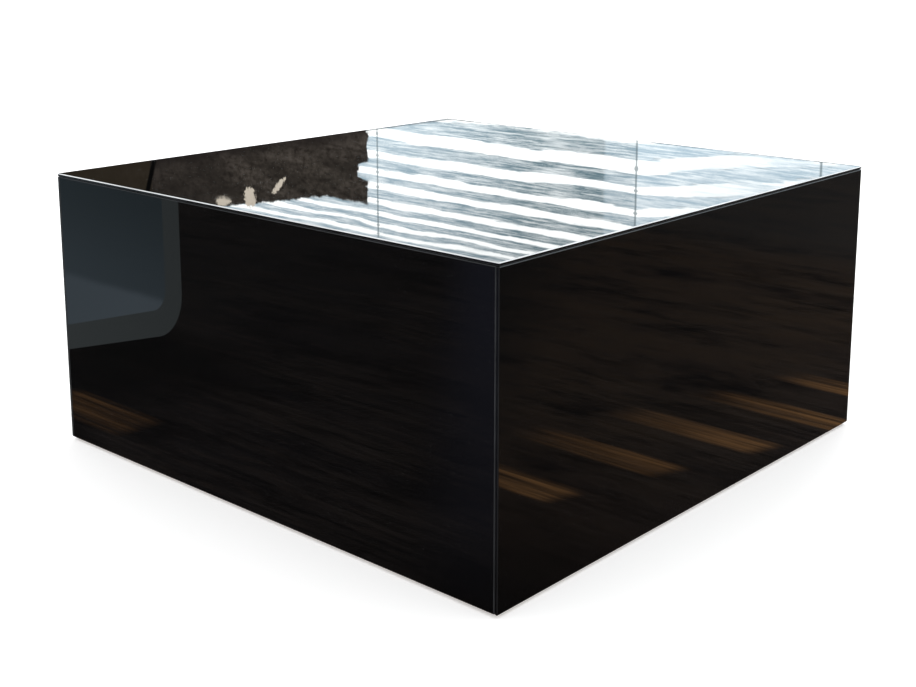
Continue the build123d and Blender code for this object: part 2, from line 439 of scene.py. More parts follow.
grain_colour = paint_over(
    sawn_grain,
    grain_in.outputs["Early Wood"],
    (ramp(sawn_grain, rings.outputs["Fac"], 0.35, 0.95), grain_in.outputs["Late Wood"]),
    (ramp(sawn_grain, pores, 0.60, 0.74, 0.0, 0.5), grain_in.outputs["Late Wood"]),
)
grain_height = minus(sawn_grain, rings.outputs["Fac"], ramp(sawn_grain, pores, 0.6, 0.75))
feed(sawn_grain, grain_out, Colour=grain_colour, Height=grain_height)
print("group", sawn_grain.name)

# %% [markdown]
# ## Effect: plated metal
#
# Zinc plating is bright but patchy: a faint crystal bloom, duller clouds, and hairline
# drawing marks from the tools. The group takes the clean and the dull colour and gives a
# colour, a roughness and a height.

# %% Plated metal group
plated_metal, plate_in, plate_out = start_group(
    "plated_metal",
    [
        ("Position", VECTOR, None),
        ("Clean", COLOUR, (0.7, 0.7, 0.72, 1)),
        ("Dull", COLOUR, (0.45, 0.45, 0.44, 1)),
        ("Clean Roughness", NUMBER, 0.28),
        ("Dull Roughness", NUMBER, 0.5),
    ],
    [("Colour", COLOUR), ("Roughness", NUMBER), ("Height", NUMBER)],
)
plate_at = plate_in.outputs["Position"]
bloom = add_node(plated_metal, "ShaderNodeTexVoronoi", {"Vector": plate_at, "Scale": 700.0})
clouds = noise(plated_metal, plate_at, 120.0, 4.0, 0.6)
drawn = noise(plated_metal, plate_at, 2600.0, 2.0, 0.5, stretch=(1.0, 1.0, 0.15))
dullness = maths(
    plated_metal,
    "ADD",
    ramp(plated_metal, clouds, 0.42, 0.72),
    times(plated_metal, bloom.outputs["Distance"], 0.25),
    clamp=True,
)
plate_colour = blend_colours(
    plated_metal, dullness, plate_in.outputs["Clean"], plate_in.outputs["Dull"]
)
plate_rough = add_node(
    plated_metal,
    "ShaderNodeMix",
    {
        0: dullness,
        2: plate_in.outputs["Clean Roughness"],
        3: plate_in.outputs["Dull Roughness"],
    },
    data_type="FLOAT",
).outputs[0]
feed(plated_metal, plate_out, Colour=plate_colour, Roughness=plate_rough, Height=drawn)
print("group", plated_metal.name)

# %% [markdown]
# ## Effect: moulded skin
#
# A moulding takes the spark-eroded texture of its steel tool, a fine even orange peel, and
# a foam skin looks alike at a larger scale. Handling polishes the high places. The group
# gives the height, a roughness and a light colour shift.

# %% Moulded skin group
moulded_skin, skin_in, skin_out = start_group(
    "moulded_skin",
    [
        ("Position", VECTOR, None),
        ("Skin Scale", NUMBER, 1500.0),
        ("Base", COLOUR, (0.02, 0.02, 0.02, 1)),
        ("Rubbed", COLOUR, (0.06, 0.06, 0.06, 1)),
    ],
    [("Colour", COLOUR), ("Roughness", NUMBER), ("Height", NUMBER)],
)
skin_at = skin_in.outputs["Position"]
peel = noise(moulded_skin, skin_at, skin_in.outputs["Skin Scale"], 3.0, 0.6)
rubs = noise(moulded_skin, skin_at, 45.0, 4.0, 0.55)
rubbed = ramp(moulded_skin, rubs, 0.50, 0.72)
skin_colour = blend_colours(
    moulded_skin, rubbed, skin_in.outputs["Base"], skin_in.outputs["Rubbed"]
)
skin_rough = ramp(moulded_skin, rubbed, 0, 1, 0.62, 0.45)
feed(moulded_skin, skin_out, Colour=skin_colour, Roughness=skin_rough, Height=peel)
print("group", moulded_skin.name)

# %% [markdown]
# ## Finish: black mirror glass
#
# Black cladding glass is clear float glass lacquered black behind. All its light comes off
# the front face, weakly when it is looked at square on and strongly at a glance, which is
# just what a Principled shader does with a near-black base, the index of glass and almost
# no roughness. So no metal is used. The film roughens it a little where hands and cloths
# have been, the specks lift the black, and the roll bends reflections slightly.

# %% Black glass
GLASS_INDEX = 1.52
black_glass, tree, shader = start_material("black_glass", IOR=GLASS_INDEX)
film = use_group(tree, gloss_film, Position=place_on_piece(tree), Speck_Size=650.0)
lacquer = blend_colours(
    tree,
    times(tree, film.outputs["Specks"], 0.35),
    (0.0012, 0.0012, 0.0013, 1),
    (0.10, 0.10, 0.095, 1),
)
gloss_rough = plus(
    tree,
    ramp(tree, film.outputs["Smear"], 0, 1, 0.010, 0.045),
    times(tree, film.outputs["Specks"], 0.3),
)
feed(tree, shader, Base_Color=lacquer, Roughness=gloss_rough)
add_relief(tree, shader, film.outputs["Roll"], 0.06 * MM)
print("finish", black_glass.name)

# %% [markdown]
# ## Finish: ground edges
#
# The wheel that takes the sharp edge off a pane leaves a narrow frosted bevel, the arris.
# It scatters light, so it draws a pale line round a black pane. Its colours are painted
# light and shade: the upper edge of the top is painted white, as if lit from above, the
# seams are painted grey and the upright corners almost black, as if in shade, and these
# also shine less. All are one recipe with three sets of colours.

# %% Frosted arrises


def frosted_arris(name, clean, stained, shine=0.5):
    """Ground glass: a pale scatter with grinding marks along it."""
    material, tree, shader = start_material(name, IOR=GLASS_INDEX, Specular_IOR_Level=shine)
    at = place_on_piece(tree)
    grinding = noise(tree, at, 1400.0, 3.0, 0.7)
    patches = noise(tree, at, 22.0, 4.0, 0.6)
    frost = blend_colours(tree, ramp(tree, patches, 0.40, 0.72), clean, stained)
    rough = ramp(tree, grinding, 0.3, 0.7, 0.28, 0.55)
    feed(tree, shader, Base_Color=frost, Roughness=rough)
    add_relief(tree, shader, grinding, 0.02 * MM)
    return material


# The three colour sets are painted light and shade: white on the top's upper edge as if lit from
# above, grey in the seams and near black at the upright corners as if in shade.
painted_lit_arris = frosted_arris("painted_lit_arris", (0.82, 0.85, 0.87, 1), (0.60, 0.62, 0.64, 1))
painted_shade_seam_arris = frosted_arris("painted_shade_seam_arris", (0.034, 0.036, 0.040, 1), (0.018, 0.019, 0.020, 1), 0.4)
painted_shade_corner_arris = frosted_arris(
    "painted_shade_corner_arris", (0.010, 0.010, 0.011, 1), (0.005, 0.005, 0.006, 1), 0.28
)
print("finishes", painted_lit_arris.name, painted_shade_seam_arris.name, painted_shade_corner_arris.name)

# %% [markdown]
# ## Finishes from one effect each
#
# None of these show from outside, but the part is reused in sections and exploded views, so
# each gets the finish of its real material. All are made the same way: one effect gives the
# colour and the relief, and the roughness comes from the effect or from its height.

# %% The recipe


def finish_from(name, effect, depth, rough=None, metal=0.0, **values):
    """A finish made of one effect; rough carries its height's range to a roughness."""
    material, tree, shader = start_material(name, Metallic=metal)
    made = use_group(tree, effect, Position=place_on_piece(tree), **values)
    height = made.outputs["Height"]
    roughness = ramp(tree, height, *rough) if rough else made.outputs["Roughness"]
    feed(tree, shader, Base_Color=made.outputs["Colour"], Roughness=roughness)
    add_relief(tree, shader, height, depth)
    return material


finishes = {"black_glass": black_glass}
print("recipe ready")

# %% [markdown]
# ## Finish: boards, posts, dowels and soles
#
# Fibreboard, hardboard and felt are mats of fibres that differ in scale, tone and depth.
# The pine posts stand with their grain upright, so the grain effect needs no turning.

# %% Board, felt and wood finishes
for name, scale, ground, fibre, fleck, rough, depth in (
    ("fibreboard", 420, (0.33, 0.225, 0.14), (0.47, 0.345, 0.23), (0.17, 0.11, 0.065), 0.72, 0.12),
    ("hardboard", 700, (0.13, 0.078, 0.045), (0.22, 0.14, 0.085), (0.05, 0.03, 0.02), 0.42, 0.06),
    ("felt", 1300, (0.060, 0.057, 0.054), (0.16, 0.15, 0.14), (0.018, 0.017, 0.016), 0.92, 0.3),
):
    finishes[name] = finish_from(
        name,
        fibre_mat,
        depth * MM,
        rough=(0.4, 0.8, rough + 0.1, rough - 0.1),
        Fibre_Scale=scale,
        Ground=(*ground, 1),
        Fibre=(*fibre, 1),
        Dark_Fleck=(*fleck, 1),
    )
for name, ring_scale, pore_scale, early, late, rough, depth in (
    ("pine", 34, 800, (0.66, 0.48, 0.29), (0.46, 0.27, 0.12), 0.55, 0.08),
    ("beech", 90, 1500, (0.62, 0.43, 0.28), (0.44, 0.27, 0.16), 0.5, 0.04),
):
    finishes[name] = finish_from(
        name,
        sawn_grain,
        depth * MM,
        rough=(-0.5, 1.0, rough + 0.1, rough - 0.08),
        Ring_Scale=ring_scale,
        Pore_Scale=pore_scale,
        Early_Wood=(*early, 1),
        Late_Wood=(*late, 1),
    )
print("finishes", ", ".join(finishes))

# %% [markdown]
# ## Finish: tape, metal and nylon
#
# Mirror tape is a grey foam with an adhesive skin. The screws and stems are zinc plated,
# the inserts are yellow-passivated steel, and the pads are black nylon.

# %% Metal, nylon and tape finishes
for name, clean, dull, clean_rough, dull_rough in (
    ("zinc_steel", (0.66, 0.68, 0.71), (0.40, 0.41, 0.42), 0.24, 0.46),
    ("insert_steel", (0.66, 0.56, 0.32), (0.42, 0.36, 0.24), 0.28, 0.50),
):
    finishes[name] = finish_from(
        name,
        plated_metal,
        0.02 * MM,
        metal=1.0,
        Clean=(*clean, 1),
        Dull=(*dull, 1),
        Clean_Roughness=clean_rough,
        Dull_Roughness=dull_rough,
    )
for name, scale, base, rub, depth in (
    ("black_nylon", 1600, (0.016, 0.016, 0.018), (0.045, 0.045, 0.048), 0.05),
    ("mirror_tape", 700, (0.58, 0.58, 0.56), (0.68, 0.68, 0.66), 0.12),
):
    finishes[name] = finish_from(
        name, moulded_skin, depth * MM, Skin_Scale=scale, Base=(*base, 1), Rubbed=(*rub, 1)
    )
print(len(finishes), "finishes")

# %% [markdown]
# ## The five panes
#
# Each pane is a sheet of float glass with a bevel ground along all twelve edges. A cube at
# the pane's own size is the start, its edges are bevelled by the arris the CAD part has,
# and then a second, hair-fine bevel rounds the lines where the arris meets the faces,
# because ground glass is never razor sharp and those lines catch light. Faces stay flat
# shaded: smoothing across a bevel would make the whole pane reflect like a cushion.

# %% Cut and grind the panes
glass_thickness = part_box("top_pane")[1].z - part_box("top_pane")[0].z
ARRIS = 0.8 * MM
HAIR_ROUND = 0.1 * MM
POLISHED, IN_SEAM, ON_TOP, AT_CORNER = range(4)


def cut_pane(node):
    """One pane with ground arrises, in place of its CAD node."""
    low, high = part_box(node)
    drop_selection()
    bpy.ops.mesh.primitive_cube_add(size=1, location=(low + high) / 2, scale=high - low)
    pane = bpy.context.object
    pane.name = node.replace("pane", "glass")
    settle(pane)
    pick_all(pane)
    bpy.ops.mesh.bevel(offset=ARRIS, offset_type="OFFSET", segments=1, affect="EDGES")
    bpy.ops.object.mode_set(mode="OBJECT")
    for finish in (black_glass, painted_shade_seam_arris, painted_lit_arris, painted_shade_corner_arris):
        pane.data.materials.append(finish)
    for face in pane.data.polygons:
        if max(abs(part) for part in face.normal) >= FLAT:
            face.material_index = POLISHED
        elif face.center.z > cad_high.z - ARRIS:
            face.material_index = ON_TOP
        elif min(abs(face.center.x), abs(face.center.y)) > cad_high.x - 2 * ARRIS:
            face.material_index = AT_CORNER
        else:
            face.material_index = IN_SEAM
    finish_with(
        pane,
        "BEVEL",
        width=HAIR_ROUND,
        segments=2,
        limit_method="ANGLE",
        angle_limit=math.radians(30),
    )
    close_up(pane)
    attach(pane, "block")
    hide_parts(node)
    return pane


panes = [cut_pane(f"{side}_pane") for side in ("top", "front", "back", "left", "right")]
print(len(panes), "panes,", round(glass_thickness / MM, 1), "mm thick")

# %% [markdown]
# ## Reading the fasteners' places
#
# One CAD node holds all the screws of a kind. Each screw is a separate solid in it, so the
# node's faces are grouped by the corners they share, and each group's box gives a screw's
# axis, and its wider end gives the head. The fine models are then set out on those places.

# %% Find each solid in a node


def solids_of(node):
    """The corners of each separate solid in a CAD node."""
    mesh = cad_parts[node].data
    group = list(range(len(mesh.vertices)))

    def head_of(i):
        while group[i] != i:
            group[i] = group[group[i]]
            i = group[i]
        return i

    seen = {}
    for corner in mesh.vertices:
        key = tuple(round(part * 1e5) for part in corner.co)
        group[head_of(corner.index)] = head_of(seen.setdefault(key, corner.index))
    for face in mesh.polygons:
        first, *others = face.vertices
        for other in others:
            group[head_of(other)] = head_of(first)
    solids = {}
    for corner in mesh.vertices:
        solids.setdefault(head_of(corner.index), []).append(corner.co.copy())
    return list(solids.values())


def head_place(corners):
    """Where a fastener's wide end is, facing out of it, as a matrix."""
    low = Vector(min(c[i] for c in corners) for i in range(3))
    high = Vector(max(c[i] for c in corners) for i in range(3))
    axis = max(range(3), key=lambda i: high[i] - low[i])
    centre = (low + high) / 2

    def width_at(end):
        near = [c for c in corners if abs(c[axis] - end) < 0.05 * MM]
        return max(
            math.sqrt(sum((c[i] - centre[i]) ** 2 for i in range(3) if i != axis)) for c in near
        )

    outward = Vector((0, 0, 0))
    outward[axis] = 1 if width_at(high[axis]) >= width_at(low[axis]) else -1
    centre[axis] = high[axis] if outward[axis] > 0 else low[axis]
    turn_to = outward.to_track_quat("Z", "Y").to_matrix().to_4x4()
    return Matrix.Translation(centre) @ turn_to, high[axis] - low[axis]


def places_of(node):
    """The places of a node's solids, in a fixed order, and their length."""
    found = [head_place(corners) for corners in solids_of(node)]
    found.sort(key=lambda place: tuple(round(part, 4) for part in place[0].translation))
    return [place for place, _ in found], found[0][1]


for node in ("carcass_screws", "post_screws", "cover_screws", "top_dowels", "rib_dowels"):
    places, length = places_of(node)
    print(node, len(places), "solids,", round(length / MM, 2), "mm long")

# %% [markdown]
# ## Turned shapes and threads
#
# A turned shape starts as a filled circle and is drawn out along Z, ring by ring, as on a
# lathe. A thread is a small triangle swept round the axis by the Screw modifier, its ends
# closed, sunk slightly into the core. Both are modelled once, round the Z axis.

# %% Lathe and thread tools


def turn(name, sides, rings):
    """Draw a disc out through rings of (height, radius)."""
    height, radius = rings[0]
    drop_selection()
    bpy.ops.mesh.primitive_circle_add(
        vertices=sides, radius=radius, fill_type="NGON", location=(0, 0, height)
    )
    piece = bpy.context.object
    piece.name = name
    settle(piece)
    pick_all(piece)
    for next_height, next_radius in rings[1:]:
        bpy.ops.mesh.extrude_region_move(
            TRANSFORM_OT_translate={"value": (0, 0, next_height - height)}
        )
        grow = next_radius / radius
        bpy.ops.transform.resize(value=(grow, grow, 1), center_override=(0, 0, next_height))
        height, radius = next_height, next_radius
    bpy.ops.object.mode_set(mode="OBJECT")
    close_up(piece)
    return piece


def cut_thread(name, core, crest, pitch, bottom, top, steps=20):
    """A helical ridge on a core, from bottom to top."""
    turns = max(1, int((top - bottom) / pitch) - 1)
    drop_selection()
    bpy.ops.mesh.primitive_circle_add(
        vertices=3,
        radius=1,
        location=(core, 0, bottom + pitch * 0.6),
        rotation=(math.pi / 2, math.pi / 2, 0),
    )
    ridge = bpy.context.object
    ridge.name = name
    take(ridge)
    bpy.ops.object.transform_apply(location=False, rotation=True, scale=False)
    bpy.ops.transform.resize(value=(crest - core, 1, pitch * 0.52))
    settle(ridge)
    finish_with(
        ridge,
        "SCREW",
        angle=2 * math.pi,
        screw_offset=pitch,
        iterations=turns,
        steps=steps,
        render_steps=steps,
        use_merge_vertices=False,
    )
    pick_all(ridge)
    bpy.ops.mesh.fill_holes(sides=3)
    bpy.ops.mesh.normals_make_consistent(inside=False)
    bpy.ops.object.mode_set(mode="OBJECT")
    return ridge


def join(name, pieces):
    """Join pieces into one."""
    take(pieces[0])
    for piece in pieces[1:]:
        piece.select_set(True)
    bpy.ops.object.join()
    pieces[0].name = name
    return pieces[0]


print("turning tools ready")

# %% [markdown]
# ## Drives and copies
#
# A six-lobed drive is an inset circle whose corners are drawn in where a wave of six has
# its hollows, and which is then sunk. What repeats is copied with its own mesh, and every
# finished piece is handed over to the frame in the same way.

# %% Drives, copies and handing over


def in_a_hollow(corner, waves):
    """Whether a corner lies in one of the hollows of so many waves round the Z axis."""
    return math.cos(waves * math.atan2(corner.y, corner.x)) < -0.5


def lobed_drive(piece, radius, depth):
    """Sink a six-lobed drive into the flat top of a head, which is at height zero."""
    touch = 0.01 * MM
    pick(piece, lambda centre, normal: normal.z > FLAT and centre.z > -touch)
    widest = max(c.co.xy.length for c in piece.data.vertices if abs(c.co.z) < touch)
    bpy.ops.mesh.inset(thickness=widest - radius)

    def in_a_waist(corner):
        near = abs(corner.z) < touch and corner.xy.length < radius * 1.02
        return near and in_a_hollow(corner, 6)

    pick(piece, in_a_waist, "VERT")
    bpy.ops.transform.resize(value=(0.72, 0.72, 1), center_override=(0, 0, 0))

    def in_the_middle(centre, normal):
        return normal.z > FLAT and centre.xy.length < 0.1 * MM and centre.z > -touch

    pick(piece, in_the_middle)
    bpy.ops.mesh.extrude_region_move(TRANSFORM_OT_translate={"value": (0, 0, -depth)})
    bpy.ops.transform.resize(value=(0.9, 0.9, 1), center_override=(0, 0, -depth))
    bpy.ops.object.mode_set(mode="OBJECT")


def copy_to(model, place):
    """A copy of a model with its own mesh, moved to a place."""
    copy = model.copy()
    copy.data = model.data.copy()
    copy.data.transform(place)
    bpy.context.scene.collection.objects.link(copy)
    return copy


def hand_over(piece, body, node, slot):
    """Smooth a piece, give it its finish, put it on its body, and hide the CAD node it stands for.
    """
    take(piece)
    bpy.ops.object.shade_smooth_by_angle(angle=SMOOTH_BELOW)
    piece.data.materials.clear()
    piece.data.materials.append(finishes[slot])
    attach(piece, body)
    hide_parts(node)


def set_out(model, name, places, node, slot):
    """A copy of the model at each place, joined into one piece of the block."""
    piece = join(name, [copy_to(model, place) for place in places])
    drop_selection()
    bpy.data.objects.remove(model)
    hand_over(piece, "block", node, slot)
    print(name, len(places), "copies,", len(piece.data.polygons), "faces")


print("copying tools ready")

# %% [markdown]
# ## Screws
#
# The carcass and post screws are countersunk, with a six-lobed drive, a plain shoulder and
# a coarse thread that ends in a point. The cover's screws are pan-headed and short. The
# sizes of heads and shanks are those of the CAD part, so the holes still fit.

# %% Countersunk screws


def countersunk_screw(name, length, head, shank, shoulder, pitch):
    """A countersunk wood screw, head up, its flat at height zero."""
    drop = (head - shank) / 2
    core = shank * 0.34
    body = turn(
        name,
        24,
        [
            (0, head / 2),
            (-0.25 * MM, head / 2),
            (-drop, shank / 2),
            (-shoulder, shank / 2),
            (-shoulder - 1 * MM, core),
            (-length + 6 * MM, core),
            (-length, 0.25 * MM),
        ],
    )
    lobed_drive(body, head * 0.29, 2.6 * MM)
    ridge = cut_thread(
        f"{name}_thread", core * 0.96, shank / 2, pitch, -length + 3 * MM, -shoulder, 14
    )
    screw = join(name, [body, ridge])
    close_up(screw)
    return screw


for name, head, shank, shoulder, pitch in (
    ("carcass_screw", 10, 7, 14, 3.0),
    ("post_screw", 9.6, 5, 28, 2.5),
):
    places, length = places_of(f"{name}s")
    screw = countersunk_screw(name, length, head * MM, shank * MM, shoulder * MM, pitch * MM)
    set_out(screw, f"{name}_set", places, f"{name}s", "zinc_steel")

# %% Pan-head cover screws
HEAD_HEIGHT = 2.4 * MM
places, length = places_of("cover_screws")
pan = turn(
    "cover_screw",
    24,
    [
        (0, 2.4 * MM),
        (-0.25 * MM, 3.05 * MM),
        (-0.7 * MM, 3.42 * MM),
        (-1.3 * MM, 3.5 * MM),
        (-HEAD_HEIGHT, 3.5 * MM),
        (-HEAD_HEIGHT, 1.3 * MM),
        (-length + 3 * MM, 1.25 * MM),
        (-length, 0.2 * MM),
    ],
)
lobed_drive(pan, 1.5 * MM, 1.5 * MM)
pan_thread = cut_thread(
    "cover_thread",
    core=1.2 * MM,
    crest=1.75 * MM,
    pitch=1.3 * MM,
    bottom=-length + 1.2 * MM,
    top=-HEAD_HEIGHT - 0.4 * MM,
    steps=14,
)
pan = join("cover_screw", [pan, pan_thread])
set_out(pan, "cover_screw_set", places, "cover_screws", "zinc_steel")

# %% [markdown]
# ## Dowels
#
# A beech dowel is fluted so that glue can escape, and chamfered so that it finds its hole.
# Twelve flutes come from drawing every second corner of a ring inwards.

# %% Fluted dowels


def fluted_dowel(name, radius, length):
    """A fluted dowel with chamfered ends, its upper end at height zero."""
    chamfer = 1.2 * MM
    tip = radius - 0.7 * MM
    dowel = turn(
        name, 48, [(0, tip), (-chamfer, radius), (-length + chamfer, radius), (-length, tip)]
    )
    pick(dowel, lambda corner: in_a_hollow(corner, 12), "VERT")
    bpy.ops.transform.resize(value=(0.92, 0.92, 1), center_override=(0, 0, 0))
    bpy.ops.object.mode_set(mode="OBJECT")
    return dowel


for name in ("top_dowel", "rib_dowel"):
    places, length = places_of(f"{name}s")
    dowel = fluted_dowel(name, 4 * MM, length)
    set_out(dowel, f"{name}_set", places, f"{name}s", "beech")

# %% [markdown]
# ## Threaded inserts
#
# Each post has a steel insert that the foot's stem turns in: a tube with a coarse outer
# thread cut into the pine, and a smooth bore here, because the stem's own thread fills it.
# The wall is drawn up outside and back down inside, and the last ring is bridged to the
# first.

# %% Threaded inserts
insert_low, insert_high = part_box("foot_inserts")
INSERT_RADIUS = 6 * MM
BORE_RADIUS = 4.05 * MM
CORNERS = ("front_left", "front_right", "back_left", "back_right")
foot_places = []
for corner in CORNERS:
    low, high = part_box(f"foot_sole_{corner}")
    foot_places.append(Matrix.Translation(((low.x + high.x) / 2, (low.y + high.y) / 2, 0)))
tube_core = INSERT_RADIUS - 0.9 * MM
tube = turn(
    "foot_insert",
    48,
    [
        (insert_low.z, BORE_RADIUS + 0.35 * MM),
        (insert_low.z, INSERT_RADIUS),
        (insert_low.z + 1.4 * MM, INSERT_RADIUS),
        (insert_low.z + 1.4 * MM, tube_core),
        (insert_high.z - 0.6 * MM, tube_core),
        (insert_high.z, tube_core - 0.6 * MM),
        (insert_high.z, BORE_RADIUS),
        (insert_low.z + 0.35 * MM, BORE_RADIUS),
    ],
)
pick(tube, lambda centre, normal: abs(normal.z) > FLAT and centre.xy.length < 0.5 * MM)
bpy.ops.mesh.delete(type="FACE")


def at_the_mouth(a, b):
    """The two rings of edges that the tube's open end lies between."""
    level = abs(a.z - b.z) < 0.001 * MM
    return level and all(
        c.xy.length < BORE_RADIUS + 0.4 * MM and c.z < insert_low.z + 0.4 * MM for c in (a, b)
    )


pick(tube, at_the_mouth, "EDGE")
bpy.ops.mesh.bridge_edge_loops()
bpy.ops.object.mode_set(mode="OBJECT")
close_up(tube)
outer_thread = cut_thread(
    "insert_thread",
    core=tube_core * 0.99,
    crest=INSERT_RADIUS,
    pitch=2.2 * MM,
    bottom=insert_low.z + 1.2 * MM,
    top=insert_high.z,
    steps=24,
)
insert = join("foot_insert", [tube, outer_thread])
set_out(insert, "foot_insert_set", foot_places, "foot_inserts", "insert_steel")

# %% [markdown]
# ## Levelling feet
#
# A foot is three pieces: the threaded stem with its spanner collar and the button at its
# lower end, the moulded pad that snaps over the button, and a felt sole under the pad. The
# stem turns and the others do not, so they ride on different bodies. Each is modelled once
# round the Z axis, at its true height, and copied to the four corners.

# %% Foot models
stem_low, stem_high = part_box("foot_stem_front_left")
pad_low, pad_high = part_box("foot_pad_front_left")
sole_low, sole_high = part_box("foot_sole_front_left")
STEM_RADIUS = 4 * MM
STEM_CORE = 3.35 * MM
THREAD_PITCH = 1.25 * MM
COLLAR_FLATS = 13 * MM
BUTTON_RADIUS = 5.5 * MM
button_top = stem_low.z + 2 * MM
collar_low = pad_high.z + 0.3 * MM
collar_high = collar_low + 4.4 * MM

stem_core = turn(
    "foot_stem",
    36,
    [
        (stem_low.z, BUTTON_RADIUS - 0.5 * MM),
        (stem_low.z + 0.5 * MM, BUTTON_RADIUS),
        (button_top - 0.3 * MM, BUTTON_RADIUS),
        (button_top, BUTTON_RADIUS - 0.3 * MM),
        (button_top, STEM_RADIUS),
        (collar_high + 0.6 * MM, STEM_RADIUS),
        (collar_high + 1.4 * MM, STEM_CORE),
        (stem_high.z - 0.8 * MM, STEM_CORE),
        (stem_high.z, STEM_CORE - 0.5 * MM),
    ],
)
stem_thread = cut_thread(
    "stem_thread",
    core=STEM_CORE * 0.985,
    crest=STEM_RADIUS,
    pitch=THREAD_PITCH,
    bottom=collar_high + 0.4 * MM,
    top=stem_high.z - 0.6 * MM,
    steps=28,
)
# The spanner collar is a hexagon with its edges rounded off.
drop_selection()
bpy.ops.mesh.primitive_cylinder_add(
    vertices=6,
    radius=COLLAR_FLATS / math.sqrt(3),
    depth=collar_high - collar_low,
    location=(0, 0, (collar_low + collar_high) / 2),
)
collar = bpy.context.object
settle(collar)
pick(collar, lambda a, b: abs(a.z - b.z) < 1e-6, "EDGE")
bpy.ops.mesh.bevel(offset=0.45 * MM, segments=2, affect="EDGES")
pick(collar, lambda a, b: abs(a.z - b.z) > 2 * MM, "EDGE")
bpy.ops.mesh.bevel(offset=0.25 * MM, segments=2, affect="EDGES")
bpy.ops.object.mode_set(mode="OBJECT")
stem_model = join("foot_stem", [stem_core, collar, stem_thread])
print("stem", round((stem_high.z - stem_low.z) / MM, 1), "mm long")

# %% Pad and sole models
PAD_RADIUS = (pad_high.x - pad_low.x) / 2
SOLE_RADIUS = (sole_high.x - sole_low.x) / 2
BOSS_RADIUS = 9.5 * MM
RIM_HEIGHT = 2.6 * MM
STEM_HOLE = STEM_RADIUS + 0.3 * MM
pad_model = turn(
    "foot_pad",
    72,
    [
        (pad_low.z, PAD_RADIUS - 0.6 * MM),
        (pad_low.z + 0.15 * MM, PAD_RADIUS - 0.2 * MM),
        (pad_low.z + 0.5 * MM, PAD_RADIUS),
        (pad_low.z + RIM_HEIGHT - 0.6 * MM, PAD_RADIUS),
        (pad_low.z + RIM_HEIGHT - 0.15 * MM, PAD_RADIUS - 0.25 * MM),
        (pad_low.z + RIM_HEIGHT, PAD_RADIUS - 0.8 * MM),
        (pad_high.z - 0.7 * MM, BOSS_RADIUS + 0.4 * MM),
        (pad_high.z - 0.15 * MM, BOSS_RADIUS - 0.2 * MM),
        (pad_high.z, BOSS_RADIUS - 0.6 * MM),
        (pad_high.z, STEM_HOLE),
        (button_top, STEM_HOLE),
        (button_top, BUTTON_RADIUS + 0.3 * MM),
        (stem_low.z - 0.3 * MM, BUTTON_RADIUS + 0.3 * MM),
    ],
)
# Twelve finger grips round the pad's rim, where two faces in every six are sunk.


def on_a_grip(centre, normal):
    """Whether a rim face becomes part of a finger grip."""
    step = round(math.degrees(math.atan2(centre.y, centre.x)) / 5 - 0.5) % 6
    level = abs(normal.z) < 0.1
    return level and centre.xy.length > PAD_RADIUS - 0.2 * MM and step in (0, 1)


pick(pad_model, on_a_grip)
bpy.ops.mesh.inset(thickness=0.25 * MM, depth=-0.3 * MM)
bpy.ops.object.mode_set(mode="OBJECT")

sole_model = turn(
    "foot_sole",
    72,
    [
        (sole_low.z, SOLE_RADIUS - 0.5 * MM),
        (sole_low.z + 0.3 * MM, SOLE_RADIUS - 0.1 * MM),
        (sole_low.z + 0.9 * MM, SOLE_RADIUS),
        (sole_high.z - 0.4 * MM, SOLE_RADIUS - 0.05 * MM),
        (sole_high.z, SOLE_RADIUS - 0.3 * MM),
    ],
)
pick_all(sole_model)
bpy.ops.transform.vertex_random(offset=0.04 * MM, uniform=1.0, seed=7)
bpy.ops.object.mode_set(mode="OBJECT")
print("pad", round(2 * PAD_RADIUS / MM, 1), "mm across")
print("sole", round(2 * SOLE_RADIUS / MM, 1), "mm across")

# %% Set the feet in place
for corner, place in zip(CORNERS, foot_places):
    for model, kind, body, slot in (
        (stem_model, "stem", "stem", "zinc_steel"),
        (pad_model, "pad", "pad", "black_nylon"),
        (sole_model, "sole", "pad", "felt"),
    ):
        piece = copy_to(model, place)
        piece.name = f"{kind}_{corner}"
        hand_over(piece, f"{body}_{corner}", f"foot_{kind}_{corner}", slot)
drop_selection()
for model in (stem_model, pad_model, sole_model):
    bpy.data.objects.remove(model)
print("feet at", [tuple(round(v, 3) for v in place.translation.xy) for place in foot_places])

# %% [markdown]
# ## Boards, posts, cover and tape
#
# These CAD nodes have their true shape already, so they stay as they are and only take a
# finish. A rule by name is enough, because the nodes are named after what they are.

# %% Dress the CAD nodes
NODE_FINISH = {
    "board": "fibreboard",
    "rib": "fibreboard",
    "post": "pine",
    "cover": "hardboard",
    "tape": "mirror_tape",
}
for name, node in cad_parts.items():
    if node.hide_render:
        continue
    kind = next(word for word in NODE_FINISH if word in name.split("_"))
    node.data.materials.clear()
    node.data.materials.append(finishes[NODE_FINISH[kind]])
    print(name, "->", NODE_FINISH[kind])

# %% [markdown]
# ## Camera
#
# The table is seen from its front right corner, from a little above, with a lens near
# 54 mm. A small downward shift of the frame keeps the upright edges nearly parallel.

# %% Camera
CAMERA_PLACE = (0.9437, -1.0628, 0.5270)
CAMERA_DOWN = math.radians(11.159)
CAMERA_ROUND = math.radians(41.932)
bpy.ops.object.camera_add(
    location=CAMERA_PLACE, rotation=(math.radians(90) - CAMERA_DOWN, 0, CAMERA_ROUND)
)
camera = bpy.context.object
camera.data.sensor_width = 36
camera.data.lens = 53.774
camera.data.shift_y = -0.1457
bpy.context.scene.camera = camera
print("camera", [round(v, 3) for v in camera.location])

# %% [markdown]
# ## Stage: what a mirror needs
#
# A mirror shows its room, so lighting black glass means building what it reflects. The
# floor under the table is plain and pale, and the light is soft and even. Around them stand
# cards that only reflections can see: a dark boarded floor with slits of sun, a tall wall
# with a slatted window beyond the table, a pale chair edge on the left, and soft boxes on
# the other sides so that the table looks well from all round.

# %% Stage tools
UPRIGHT = math.radians(90)


